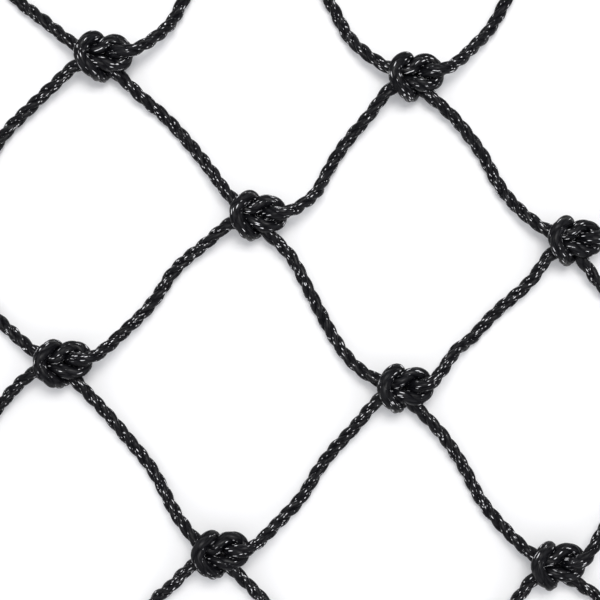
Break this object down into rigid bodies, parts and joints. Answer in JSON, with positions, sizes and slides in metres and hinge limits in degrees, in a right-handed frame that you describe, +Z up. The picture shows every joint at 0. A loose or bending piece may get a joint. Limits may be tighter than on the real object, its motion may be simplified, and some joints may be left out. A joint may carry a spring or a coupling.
{
  "type": "cargo climbing net",
  "caption": "Square climbing net of knotted black rope in a diamond mesh, on a border rope with a thimble eye at each corner.",
  "frame": {"origin": "on the floor below the middle of the net, which lies flat", "axes": "+Z up out of the laid net, +Y towards the net's top edge, +X to its right seen from above"},
  "size_m": [1.276, 1.276, 0.0457],
  "materials": {
    "mesh_twine": "satin",
    "border_rope": "satin",
    "thimble_steel": "satin",
    "seizing_cord": "matte",
    "ferrule_alloy": "satin"
  },
  "bodies": {
    "strip_1": {"border_eye_bottom_left": "border_rope", "border_eye_top_left": "border_rope", "border_rope_bottom_1": "border_rope", "border_rope_left_1": "border_rope", "border_rope_left_2": "border_rope", "border_rope_left_3": "border_rope", "border_rope_left_4": "border_rope", "border_rope_top_1": "border_rope", "end_seizings_1": "seizing_cord", "thimble_bottom_left": "thimble_steel", "thimble_top_left": "thimble_steel", "throat_seizing_bottom_left": "seizing_cord", "throat_seizing_top_left": "seizing_cord", "twine_1_bottom": "mesh_twine", "twine_1_middle": "mesh_twine", "twine_1_top": "mesh_twine", "twine_2_hitches": "mesh_twine"},
    "strip_2": {"border_rope_bottom_2": "border_rope", "border_rope_top_2": "border_rope", "end_seizings_2": "seizing_cord", "twine_2_bights": "mesh_twine", "twine_3_hitches": "mesh_twine"},
    "strip_3": {"border_rope_bottom_3": "border_rope", "border_rope_top_3": "border_rope", "end_seizings_3": "seizing_cord", "twine_3_bights": "mesh_twine", "twine_4_hitches": "mesh_twine"},
    "strip_4": {"border_rope_bottom_4": "border_rope", "border_rope_top_4": "border_rope", "end_seizings_4": "seizing_cord", "twine_4_bights": "mesh_twine", "twine_5_hitches": "mesh_twine"},
    "strip_5": {"border_rope_bottom_5": "border_rope", "border_rope_top_5": "border_rope", "end_seizings_5": "seizing_cord", "twine_5_bights": "mesh_twine", "twine_6_hitches": "mesh_twine"},
    "strip_6": {"border_eye_bottom_right": "border_rope", "border_eye_top_right": "border_rope", "border_ferrule": "ferrule_alloy", "border_rope_bottom_6": "border_rope", "border_rope_right_1": "border_rope", "border_rope_right_2": "border_rope", "border_rope_right_3": "border_rope", "border_rope_right_4": "border_rope", "border_rope_top_6": "border_rope", "end_seizings_6": "seizing_cord", "thimble_bottom_right": "thimble_steel", "thimble_top_right": "thimble_steel", "throat_seizing_bottom_right": "seizing_cord", "throat_seizing_top_right": "seizing_cord", "twine_6_bights": "mesh_twine", "twine_7_bottom": "mesh_twine", "twine_7_middle": "mesh_twine", "twine_7_top": "mesh_twine"}
  },
  "joints": [
    {"name": "fold_1", "type": "hinge", "parent": "strip_1", "child": "strip_2", "pos_m": [-0.3428, 0, 0.008], "axis": [0.0599, 0.9982, 0], "range_deg": [-45, 45]},
    {"name": "fold_2", "type": "hinge", "parent": "strip_2", "child": "strip_3", "pos_m": [-0.1648, 0, 0.008], "axis": [0.0599, 0.9982, 0], "range_deg": [-45, 45]},
    {"name": "fold_3", "type": "hinge", "parent": "strip_3", "child": "strip_4", "pos_m": [-0.0048, 0, 0.008], "axis": [0.0599, 0.9982, 0], "range_deg": [-45, 45]},
    {"name": "fold_4", "type": "hinge", "parent": "strip_4", "child": "strip_5", "pos_m": [0.1552, 0, 0.008], "axis": [0.0599, 0.9982, 0], "range_deg": [-45, 45]},
    {"name": "fold_5", "type": "hinge", "parent": "strip_5", "child": "strip_6", "pos_m": [0.3192, 0, 0.008], "axis": [0.0599, 0.9982, 0], "range_deg": [-45, 45]}
  ]
}
